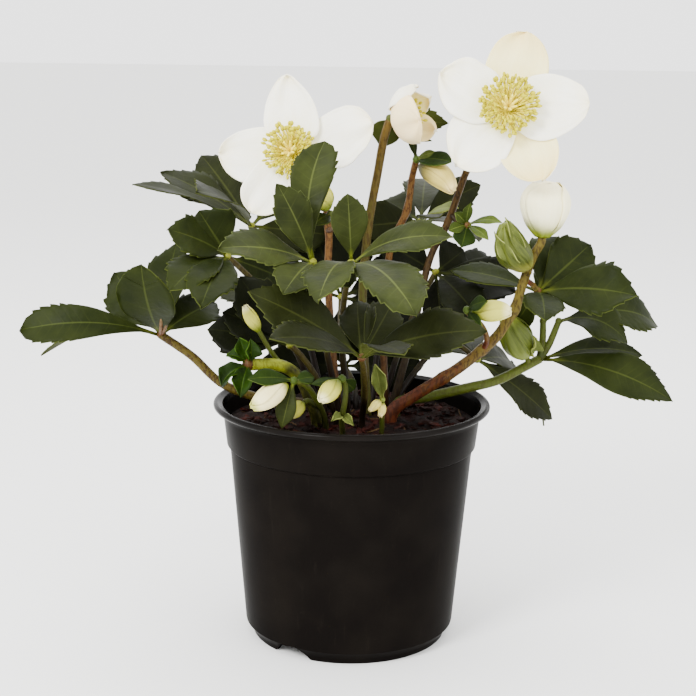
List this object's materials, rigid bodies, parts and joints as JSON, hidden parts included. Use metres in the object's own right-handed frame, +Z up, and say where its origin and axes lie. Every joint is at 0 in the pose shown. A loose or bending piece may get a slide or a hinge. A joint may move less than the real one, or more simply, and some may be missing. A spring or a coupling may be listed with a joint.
{
  "type": "potted hellebore",
  "caption": "Flowering hellebore (Christmas rose) with toothed compound leaves, white flowers and buds, rooted in soil in a round nursery pot that stands on its foot ring.",
  "frame": {"origin": "on the pot's axis, on the surface that the pot's foot ring stands on", "axes": "+Z up along the pot's axis; the plant's best side faces -Y; the leaves spread widest along X"},
  "size_m": [0.3041, 0.2081, 0.2866],
  "materials": {
    "pot_plastic": "satin black injection-moulded plastic",
    "potting_soil": "loose dark potting soil",
    "leaf_green": "leathery dark green leaf, slightly glossy",
    "young_green": "fresh green bracts and young leaves",
    "leaf_stalk": "olive leaf stalk with reddish speckles",
    "flower_stem": "reddish brown speckled stem",
    "petal_white": "soft creamy white petal",
    "bud_cream": "cream to pale yellow-green bud",
    "stamen_yellow": "bright yellow anthers"
  },
  "bodies": {
    "root": {"pot": "pot_plastic", "soil": "potting_soil", "leaf_left_low": "leaf_green", "leaf_left_high": "leaf_green", "leaf_left_mid": "leaf_green", "leaf_front_left": "leaf_green", "leaf_front_right": "leaf_green", "leaf_front_low": "leaf_green", "leaf_right_low": "leaf_green", "leaf_right_stem": "leaf_green", "leaf_right_back": "leaf_green", "leaf_mid_right": "leaf_green", "leaf_high_back": "leaf_green", "leaf_left_inner": "leaf_green", "leaf_back_left": "leaf_green", "leaf_mid_back": "leaf_green", "leaf_back_low": "leaf_green", "stalk_left_low": "leaf_stalk", "stalk_left_high": "leaf_stalk", "stalk_left_mid": "leaf_stalk", "stalk_front_left": "leaf_stalk", "stalk_front_right": "leaf_stalk", "stalk_front_low": "leaf_stalk", "stalk_right_low": "leaf_stalk", "stalk_right_back": "leaf_stalk", "stalk_mid_right": "leaf_stalk", "stalk_high_back": "leaf_stalk", "flower_a_petals": "petal_white", "flower_b_petals": "petal_white", "flower_c_petals": "petal_white", "flower_a_stamens": "stamen_yellow", "flower_b_stamens": "stamen_yellow", "flower_c_stamens": "stamen_yellow", "stem_a": "flower_stem", "stem_b": "flower_stem", "stem_c": "flower_stem", "stem_d": "flower_stem", "stem_h": "flower_stem", "flower_c_bracts": "leaf_green", "bud_d": "bud_cream", "bud_d_bracts": "young_green", "bud_h": "petal_white", "bud_i": "young_green", "bud_j": "bud_cream", "bud_j_bracts": "young_green", "bud_k": "young_green", "bud_mid": "bud_cream", "bud_mid_bracts": "leaf_green", "young_shoot": "young_green", "shoot_whorl": "young_green", "shoot_x1": "young_green", "bud_x1": "petal_white", "bud_x2": "bud_cream", "shoot_x3": "young_green", "bud_x3": "bud_cream", "shoot_x4": "bud_cream", "shoot_x5": "bud_cream"}
  },
  "joints": []
}
